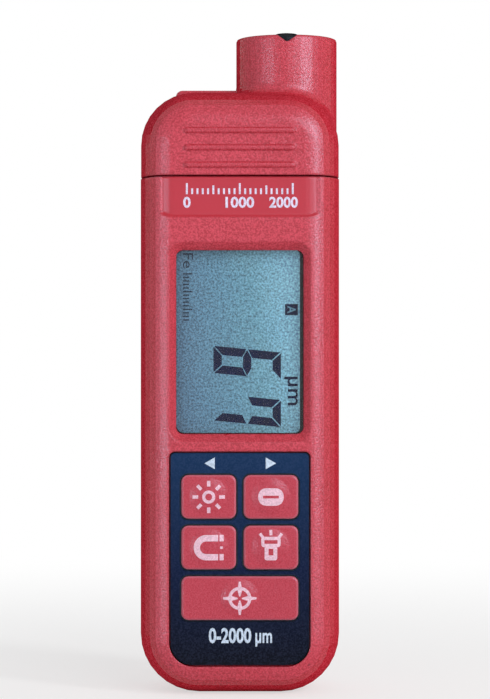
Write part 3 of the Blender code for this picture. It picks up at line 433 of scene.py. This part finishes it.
def screen_material():
    """The grey-blue cell: paler towards the upper right, with the fine sparkle of its rear sheet."""
    made, tree, shader, coordinates = new_material("lcd_face")
    low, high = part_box("lcd_glass")
    across = along(tree, coordinates, "X", low.x, high.x)
    up = along(tree, coordinates, "Z", low.z, high.z)
    together = node(tree, "ShaderNodeMath", operation="MULTIPLY_ADD")
    link(tree, up, together.inputs[0])
    together.inputs[1].default_value = SCREEN_RISE
    link(tree, across, together.inputs[2])
    tone = ramp(tree, together.outputs[0], *SCREEN_TONES)
    sparkle = noise(tree, coordinates, SCREEN_SPARKLE)
    spots = ramp(tree, sparkle, (0.32, 0.12), (0.68, 0.88))
    link(tree, mix(tree, 0.7, tone, spots, kind="OVERLAY"), shader.inputs["Base Color"])
    shader.inputs["Roughness"].default_value = 0.5
    shader.inputs["Specular IOR Level"].default_value = 0.1
    bump(tree, shader, sparkle, FAINT_RELIEF)
    return made


def window_material():
    """Clear plastic with faint waves, through which the screen shows."""
    made, tree, shader, coordinates = new_material("window_plastic")
    waves = noise(tree, coordinates, WINDOW_WAVES)
    tint = ramp(tree, waves, (0.3, (0.96, 0.98, 1.0)), (0.7, (1.0, 1.0, 1.0)))
    link(tree, tint, shader.inputs["Base Color"])
    shader.inputs["Roughness"].default_value = 0.04
    shader.inputs["IOR"].default_value = 1.3
    shader.inputs["Specular IOR Level"].default_value = 0.06
    shader.inputs["Transmission Weight"].default_value = 1.0
    bump(tree, shader, waves, FAINT_RELIEF)
    return made


def board_material():
    """Green solder mask with paler copper tracks under it."""
    made, tree, shader, coordinates = new_material("solder_mask")
    tracks = node(tree, "ShaderNodeTexVoronoi", feature="DISTANCE_TO_EDGE", Scale=1 / TRACK_PITCH)
    link(tree, coordinates, tracks.inputs["Vector"])
    lines = ramp(tree, tracks.outputs[0], (0.05, (0.03, 0.26, 0.1)), (0.12, (0.012, 0.12, 0.05)))
    link(tree, lines, shader.inputs["Base Color"])
    shader.inputs["Roughness"].default_value = 0.38
    bump(tree, shader, lines, FILM_RELIEF)
    return made


def wrapper_material():
    """A dark cell wrapper with a copper-coloured end band."""
    made, tree, shader, coordinates = new_material("cell_wrapper_print")
    low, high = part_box("battery_1")
    bands = ramp(
        tree,
        along(tree, coordinates, "Z", low.z, high.z),
        (0.0, (0.05, 0.052, 0.058)),
        (0.7, (0.04, 0.042, 0.048)),
        (0.72, (0.62, 0.3, 0.12)),
    )
    link(tree, bands, shader.inputs["Base Color"])
    scuffs = noise(tree, coordinates, SCUFF_SIZE, detail=4.0)
    link(tree, ramp(tree, scuffs, (0.3, 0.26), (0.7, 0.42)), shader.inputs["Roughness"])
    shader.inputs["Metallic"].default_value = 0.35
    return made


def wire_material(name, dark, light, roughness):
    """Drawn or turned metal with fine rings along its length."""
    made, tree, shader, coordinates = new_material(name)
    rings = node(tree, "ShaderNodeTexWave", bands_direction="Z", Scale=1 / RING_PITCH, Distortion=1.5)
    link(tree, coordinates, rings.inputs["Vector"])
    link(tree, ramp(tree, rings.outputs["Fac"], (0.2, dark), (0.8, light)), shader.inputs["Base Color"])
    shader.inputs["Metallic"].default_value = 1.0
    shader.inputs["Roughness"].default_value = roughness
    bump(tree, shader, rings.outputs["Fac"], FAINT_RELIEF)
    return made


def finish_nodes():
    """Gives each node of the frame its procedural finish."""
    black = moulded("black_moulding", BLACK_DARK, BLACK_LIGHT, 0.45, INNER_GRAIN, FILM_RELIEF)
    satin(black.node_tree, black.node_tree.nodes["Principled BSDF"], 0.2)
    finishes = {
        "case_red": case_material(),
        "overlay_navy": film_material(),
        "black_plastic": black,
        "clear_window": window_material(),
        "lcd_grey": screen_material(),
        "white_diffuser": moulded("diffuser", WHITE_DARK, WHITE_LIGHT, 0.5, CASE_GRAIN, FAINT_RELIEF),
        "board_green": board_material(),
        "spring_steel": wire_material("turned_steel", STEEL_DARK, STEEL_LIGHT, 0.3),
        "copper_wire": wire_material("wound_copper", COPPER_DARK, COPPER_LIGHT, 0.34),
        "cell_wrapper": wrapper_material(),
    }
    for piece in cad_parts.values():
        for place in piece.material_slots:
            name = place.material.name.split(".")[0]
            place.material = key_material(piece.name) if name == "key_red" else finishes[name]


def surface_of(name):
    """A search tree of a node's surface, to lay prints on it."""
    return BVHTree.FromObject(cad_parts[name], bpy.context.evaluated_depsgraph_get())


def add_piece(name, mesh, finish, body):
    """A new visible piece that moves with a body."""
    data = bpy.data.meshes.new(name)
    mesh.to_mesh(data)
    mesh.free()
    made = bpy.data.objects.new(name, data)
    bpy.context.scene.collection.objects.link(made)
    data.materials.append(finish)
    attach(made, body)


def face_patches(mesh, outlines):
    """Flat faces in X and Z from lists of corners."""
    for outline in outlines:
        mesh.faces.new([mesh.verts.new((x, 0.0, z)) for x, z in outline])


def cut_in_grid(mesh, step):
    """Cuts flat patches along a grid, so that they can follow a curved surface."""
    for axis, normal in ((0, (1, 0, 0)), (2, (0, 0, 1))):
        places = [vertex.co[axis] for vertex in mesh.verts]
        for line in range(math.ceil(min(places) / step), math.floor(max(places) / step) + 1):
            point = Vector((0, 0, 0))
            point[axis] = line * step
            geometry = [*mesh.verts, *mesh.edges, *mesh.faces]
            bmesh.ops.bisect_plane(mesh, geom=geometry, dist=1e-7, plane_co=point, plane_no=normal)


def laid_print(name, outlines, surface, finish, body, lift=0.0):
    """Print that follows the surface under it: patches laid on it from the front, with a thickness."""
    mesh = bmesh.new()
    face_patches(mesh, outlines)
    cut_in_grid(mesh, PRINT_GRID)
    bmesh.ops.remove_doubles(mesh, verts=mesh.verts, dist=1e-6)
    for vertex in mesh.verts:
        start = Vector((vertex.co.x, -1.0, vertex.co.z))
        spot = surface.ray_cast(start, Vector((0, 1, 0)))[0]
        vertex.co.y = spot.y + PRINT_SUNK - lift
    raised = bmesh.ops.extrude_face_region(mesh, geom=list(mesh.faces))["geom"]
    for item in raised:
        if isinstance(item, bmesh.types.BMVert):
            item.co.y -= PRINT_SUNK + PRINT_HEIGHT
    bmesh.ops.recalc_face_normals(mesh, faces=mesh.faces)
    add_piece(name, mesh, finish, body)


def circle_point(centre, radius, turn):
    return centre[0] + radius * math.cos(turn), centre[1] + radius * math.sin(turn)


def ring_patches(centre, inner, outer, start=0.0, end=360.0, steps=32):
    """A flat ring, or a stretch of one, as patches."""
    turns = [math.radians(start + (end - start) * step / steps) for step in range(steps + 1)]
    patches = []
    for turn, after in zip(turns, turns[1:]):
        corners = [(outer, turn), (outer, after), (inner, after), (inner, turn)]
        patches.append([circle_point(centre, radius, angle) for radius, angle in corners])
    return patches


def bar_patch(centre, turn, start, end, start_width, end_width):
    """A bar on a ray from a centre, between two distances, that may taper."""
    ray = Vector((math.cos(turn), math.sin(turn)))
    across = Vector((-ray.y, ray.x))
    middle = Vector(centre)
    corners = [
        middle + start * ray + start_width / 2 * across,
        middle + start * ray - start_width / 2 * across,
        middle + end * ray - end_width / 2 * across,
        middle + end * ray + end_width / 2 * across,
    ]
    return [tuple(corner) for corner in corners]


def box_patch(left, right, low, high):
    return [(left, low), (right, low), (right, high), (left, high)]


def rounded_box(centre, half_width, half_height, radius, left_radius=None, steps=6):
    """A closed outline with rounded corners, whose left ones may have a radius of their own."""
    outline = []
    for side, up, start in ((1, -1, -90), (1, 1, 0), (-1, 1, 90), (-1, -1, 180)):
        corner = left_radius if left_radius and side < 0 else radius
        x = centre[0] + side * (half_width - corner)
        z = centre[1] + up * (half_height - corner)
        for step in range(steps + 1):
            outline.append(circle_point((x, z), corner, math.radians(start + 90 * step / steps)))
    return outline


def between(outer, inner):
    """Patches between two closed outlines that have as many corners."""
    patches = []
    for index in range(len(outer)):
        after = (index + 1) % len(outer)
        patches.append([outer[index], outer[after], inner[after], inner[index]])
    return patches


def text_outlines(words, place, size, weight=0.0):
    """The faces of a line of plain lettering, stretched to fill a size from its left low corner."""
    curve = bpy.data.curves.new("lettering", "FONT")
    curve.body = words
    curve.resolution_u = 3
    curve.offset = weight
    holder = bpy.data.objects.new("lettering", curve)
    flat = bpy.data.meshes.new_from_object(holder)
    x_places = [vertex.co.x for vertex in flat.vertices]
    z_places = [vertex.co.y for vertex in flat.vertices]
    wide = size[0] / (max(x_places) - min(x_places))
    tall = size[1] / (max(z_places) - min(z_places))
    placed = [
        (place[0] + (x - min(x_places)) * wide, place[1] + (z - min(z_places)) * tall)
        for x, z in zip(x_places, z_places)
    ]
    outlines = [[placed[index] for index in polygon.vertices] for polygon in flat.polygons]
    bpy.data.objects.remove(holder)
    bpy.data.curves.remove(curve)
    bpy.data.meshes.remove(flat)
    return outlines


def digit_strokes(digit):
    """The lit bars of a seven-bar figure, as outlines in U and V."""
    wide, high, stroke, gap = DIGIT_WIDTH, DIGIT_HEIGHT, DIGIT_STROKE, DIGIT_GAP
    middle = high / 2
    half = stroke / 2
    inside = high - stroke
    bars = {
        "a": [(gap, high), (stroke + gap, inside), (wide - stroke - gap, inside), (wide - gap, high)],
        "f": [(0, high - gap), (0, middle + gap), (stroke, middle + half + gap), (stroke, inside - gap)],
        "g": [
            (gap, middle),
            (stroke, middle - half),
            (wide - stroke, middle - half),
            (wide - gap, middle),
            (wide - stroke, middle + half),
            (stroke, middle + half),
        ],
    }
    bars["b"] = [(wide - u, v) for u, v in bars["f"]]
    bars["c"] = [(wide - u, high - v) for u, v in bars["f"]]
    bars["d"] = [(u, high - v) for u, v in bars["a"]]
    bars["e"] = [(u, high - v) for u, v in bars["f"]]
    return [[(u + DIGIT_SLANT * v, v) for u, v in bars[letter]] for letter in DIGIT_SEGMENTS[digit]]


def turned_down(outlines, place):
    """Outlines in U and V laid on the screen, where U runs down the case and V to the right."""
    left, top = place
    return [[(left + v, top - u) for u, v in outline] for outline in outlines]


def screen_words(words, place, size, weight=0.0):
    """Words that are read down the case."""
    return turned_down(text_outlines(words, (0.0, 0.0), size, weight), place)


def make_screen_figures(ink, faint, pale):
    """The reading with its unit, a mode mark, and a faint row with the base metal and a bar scale."""
    surface = surface_of("lcd_glass")
    for digit, left, top in DIGIT_PLACES:
        outlines = turned_down(digit_strokes(digit), (left, top))
        laid_print(f"screen_digit_{digit}", outlines, surface, ink, "case")
    unit = screen_words(UNIT, UNIT_PLACE, UNIT_SIZE, weight=0.01)
    laid_print("screen_unit", unit, surface, ink, "case")
    laid_print("screen_mode_box", [box_patch(*MODE_BOX)], surface, ink, "case")
    mode = screen_words("A", MODE_PLACE, MODE_SIZE, weight=0.02)
    laid_print("screen_mode", mode, surface, pale, "case", lift=PRINT_HEIGHT)
    metal = screen_words("Fe", METAL_PLACE, METAL_SIZE)
    left = METAL_PLACE[0]
    for step in range(BAR_COUNT):
        top = BAR_TOP - BAR_PITCH * step
        length = BAR_LONG if step % 5 == 0 else BAR_SHORT
        metal.append(box_patch(left, left + length, top - BAR_WIDTH, top))
    laid_print("screen_metal_scale", metal, surface, faint, "case")


def make_screen_edge(dark):
    """A dark ring round the visible part of the cell: painted shade where the gap at the cell's edge lies in
    shadow.
    """
    low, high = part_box("lcd_glass")
    middle = ((low.x + high.x) / 2, (low.z + high.z) / 2)
    half_width = (high.x - low.x) / 2 - CELL_INSET
    half_height = (high.z - low.z) / 2 - CELL_INSET
    outer = rounded_box(middle, half_width, half_height, CELL_ROUND)
    centre = (sum(SCREEN_SIDES) / 2, sum(SCREEN_ENDS) / 2)
    half_width = (SCREEN_SIDES[1] - SCREEN_SIDES[0]) / 2
    half_height = (SCREEN_ENDS[1] - SCREEN_ENDS[0]) / 2
    inner = rounded_box(centre, half_width, half_height, SCREEN_ROUND, SCREEN_LEFT_ROUND)
    # Painted shade in the gap at the cell's edge
    laid_print("screen_gap_shade", between(outer, inner), surface_of("lcd_glass"), dark, "case")


def make_badge_scale(finish):
    """A plain scale with numbers in the recess under the parting line."""
    outlines = []
    long_tick, middle_tick, short_tick = TICK_HEIGHTS
    for step in range(BADGE_STEPS + 1):
        x = (step / BADGE_STEPS - 0.5) * BADGE_SCALE
        tall = long_tick if step % 10 == 0 else middle_tick if step % 5 == 0 else short_tick
        outlines.append(box_patch(x - TICK_WIDTH / 2, x + TICK_WIDTH / 2, BADGE_TICKS, BADGE_TICKS + tall))
    for words, left, length in BADGE_LABELS:
        outlines += text_outlines(words, (left, BADGE_NUMBERS), (length, BADGE_NUMBER_HEIGHT), weight=0.03)
    laid_print("badge_scale", outlines, surface_of("front_shell"), finish, "case")


def make_range_print(finish):
    """The measuring range in plain numbers under the lowest key."""
    words = text_outlines("0-2000", RANGE_PLACE, RANGE_SIZE, weight=0.03)
    words += text_outlines(UNIT, RANGE_UNIT_PLACE, RANGE_UNIT_SIZE, weight=0.02)
    laid_print("range_print", words, surface_of("keypad_overlay"), finish, "case")


def sun_sign(centre):
    """A sun: a ring with eight rays."""
    ray_width = 0.58 * MM
    patches = ring_patches(centre, 0.6 * MM, 1.14 * MM)
    for step in range(8):
        patches.append(bar_patch(centre, math.radians(45 * step), 1.82 * MM, 2.8 * MM, ray_width, ray_width))
    return patches


def oval_sign(centre):
    """A rounded figure nought that lies on its side."""
    outer = rounded_box(centre, 2.2 * MM, 1.52 * MM, 1.35 * MM)
    inner = rounded_box(centre, 1.38 * MM, 0.24 * MM, 0.1 * MM)
    return between(outer, inner)


def magnet_sign(centre):
    """A horseshoe magnet that opens to the right, with its poles and a small square between them."""
    outer = 2.2 * MM
    inner = 1.1 * MM
    pole = 1.88 * MM
    square = 0.22 * MM
    x, z = centre
    bend = (x - 0.41 * MM, z)
    patches = ring_patches(bend, inner, outer, 90, 270, 24)
    for side in (-1, 1):
        low, high = sorted((z + side * inner, z + side * outer))
        patches.append(box_patch(bend[0], x + 1.64 * MM, low, high))
        patches.append(box_patch(x + pole, x + 2.6 * MM, low, high))
    patches.append(box_patch(x + 1.98 * MM, x + 2.46 * MM, z - square, z + square))
    return patches


def torch_sign(centre):
    """A torch that points up, with three rays."""
    x, z = centre
    head = (x, z + 1.0 * MM)
    patches = between(
        rounded_box(head, 1.68 * MM, 0.9 * MM, 0.5 * MM),
        rounded_box(head, 1.14 * MM, 0.32 * MM, 0.08 * MM),
    )
    patches += between(
        rounded_box((x, z - 0.95 * MM), 1.1 * MM, 1.25 * MM, 0.4 * MM),
        rounded_box((x, z - 0.75 * MM), 0.42 * MM, 0.58 * MM, 0.08 * MM),
    )
    ray_width = 0.5 * MM
    for turn in (52, 90, 128):
        patches.append(bar_patch(centre, math.radians(turn), 2.15 * MM, 3.1 * MM, ray_width, ray_width))
    return patches


def target_sign(centre):
    """A ring with four bars outside it and four that taper inside it."""
    inner = 1.47 * MM
    outer = 2.0 * MM
    patches = ring_patches(centre, inner, outer)
    for step in range(4):
        turn = math.radians(90 * step)
        patches.append(bar_patch(centre, turn, outer - 0.05 * MM, 2.9 * MM, 0.62 * MM, 0.34 * MM))
        patches.append(bar_patch(centre, turn, 0.35 * MM, inner + 0.03 * MM, 0.22 * MM, 0.86 * MM))
    return patches


def make_key_signs(finish):
    """A sign on each key, which moves with its key."""
    signs = {
        "key_brightness": sun_sign,
        "key_zero": oval_sign,
        "key_magnet": magnet_sign,
        "key_torch": torch_sign,
        "key_target": target_sign,
    }
    for key, sign in signs.items():
        low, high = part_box(key)
        centre = ((low.x + high.x) / 2, (low.z + high.z) / 2)
        body = key.replace("key_", "") + "_key"
        laid_print(key.replace("key", "sign"), sign(centre), surface_of(key), finish, body)


def make_arrows(finish):
    """Two small arrows above the keys, which point outwards."""
    surface = surface_of("keypad_overlay")
    for name, middle, side in ARROWS:
        tip = (middle + side * ARROW_HALF_LENGTH, ARROW_RISE)
        base = middle - side * ARROW_HALF_LENGTH
        corners = [tip, (base, ARROW_RISE + ARROW_HALF_HEIGHT), (base, ARROW_RISE - ARROW_HALF_HEIGHT)]
        laid_print(name, [corners], surface, finish, "case")


def plain_rays(tree):
    """1 for what the camera sees, also in glossy and clear surfaces, and 0 for light on the object."""
    rays = tree.nodes.new("ShaderNodeLightPath")
    seen = combine(tree, "MAXIMUM", rays.outputs["Is Camera Ray"], rays.outputs["Is Glossy Ray"])
    return combine(tree, "MAXIMUM", seen, rays.outputs["Is Transmission Ray"])


def blend_shaders(tree, factor, first, second, output):
    """Two shaders mixed into a material's or the world's output."""
    made = tree.nodes.new("ShaderNodeMixShader")
    link(tree, factor, made.inputs[0])
    link(tree, first.outputs[0], made.inputs[1])
    link(tree, second.outputs[0], made.inputs[2])
    link(tree, made.outputs[0], tree.nodes[output].inputs["Surface"])


def stage_material():
    """White for the camera far away and behind, and a plain floor that keeps the shadow near the gauge."""
    made, tree, shader, coordinates = new_material("stage_white")
    shader.inputs["Base Color"].default_value = (STAGE_WHITE, STAGE_WHITE, STAGE_WHITE, 1.0)
    shader.inputs["Roughness"].default_value = 0.9
    shader.inputs["Specular IOR Level"].default_value = 0.0
    glow = tree.nodes.new("ShaderNodeEmission")
    length = node(tree, "ShaderNodeVectorMath", operation="LENGTH")
    link(tree, coordinates, length.inputs[0])
    far = node(
        tree,
        "ShaderNodeMapRange",
        interpolation_type="SMOOTHSTEP",
        From_Min=SHADOW_START,
        From_Max=SHADOW_END,
        To_Min=FLOOR_GLOW,
    )
    link(tree, length.outputs["Value"], far.inputs["Value"])
    factor = combine(tree, "MULTIPLY", plain_rays(tree), far.outputs[0])
    blend_shaders(tree, factor, shader, glow, "Material Output")
    return made


def make_stage():
    """A floor that curves up into a backdrop."""
    profile = [(STAGE_NEAR, 0.0)]
    for step in range(STAGE_STEPS + 1):
        turn = math.radians(90 * step / STAGE_STEPS)
        place = STAGE_FAR - STAGE_CURVE + STAGE_CURVE * math.sin(turn)
        profile.append((place, STAGE_CURVE - STAGE_CURVE * math.cos(turn)))
    profile.append((STAGE_FAR, STAGE_HEIGHT))
    mesh = bmesh.new()
    left = [mesh.verts.new((-STAGE_HALF_WIDTH, y, z)) for y, z in profile]
    right = [mesh.verts.new((STAGE_HALF_WIDTH, y, z)) for y, z in profile]
    for index in range(len(profile) - 1):
        mesh.faces.new([left[index], right[index], right[index + 1], left[index + 1]])
    data = bpy.data.meshes.new("stage")
    mesh.to_mesh(data)
    mesh.free()
    data.shade_smooth()
    made = bpy.data.objects.new("stage", data)
    bpy.context.scene.collection.objects.link(made)
    data.materials.append(stage_material())


def make_world():
    """Even white light, which the camera and glossy and clear surfaces see as plain white."""
    world = bpy.data.worlds.new("studio")
    bpy.context.scene.world = world
    world.use_nodes = True
    tree = world.node_tree
    light = tree.nodes["Background"]
    white = tree.nodes.new("ShaderNodeBackground")
    for background, strength in ((light, WORLD_LEVEL), (white, 1.0)):
        background.inputs["Color"].default_value = (1.0, 1.0, 1.0, 1.0)
        background.inputs["Strength"].default_value = strength
    blend_shaders(tree, plain_rays(tree), light, white, "World Output")


def add_light(name, azimuth, rise, distance, width, height, power):
    """An upright soft lamp in a direction from the gauge's front, aimed at the middle of the gauge."""
    data = bpy.data.lights.new(name, "AREA")
    data.shape = "RECTANGLE"
    data.size = width
    data.size_y = height
    data.energy = power
    made = bpy.data.objects.new(name, data)
    bpy.context.scene.collection.objects.link(made)
    turn = math.radians(azimuth)
    lift = math.radians(rise)
    ray = Vector((math.sin(turn) * math.cos(lift), -math.cos(turn) * math.cos(lift), math.sin(lift)))
    made.location = Vector(LAMP_AIM) + distance * ray
    made.rotation_euler = (-ray).to_track_quat("-Z", "Y").to_euler()


def make_camera():
    """A level camera that looks along +Y."""
    data = bpy.data.cameras.new("photo_camera")
    data.sensor_width = CAMERA_SENSOR
    data.lens = CAMERA_LENS
    made = bpy.data.objects.new("photo_camera", data)
    bpy.context.scene.collection.objects.link(made)
    made.location = CAMERA_PLACE
    made.rotation_euler = (math.radians(90), 0, 0)
    bpy.context.scene.camera = made


finish_nodes()
paints = {}
for name, dark, light, roughness, grain, gloss in PAINTS:
    paints[name] = moulded(name, dark, light, roughness, grain, PAINT_RELIEF, gloss)
make_screen_figures(paints["screen_ink"], paints["faint_ink"], paints["pale_mark"])
make_screen_edge(paints["painted_gap_shade"])
make_key_signs(paints["key_print"])
make_arrows(paints["film_print"])
make_range_print(paints["film_print"])
make_badge_scale(paints["badge_print"])
make_stage()
make_world()
for lamp in LAMPS:
    add_light(*lamp)
make_camera()
bpy.context.scene.view_settings.view_transform = "Standard"
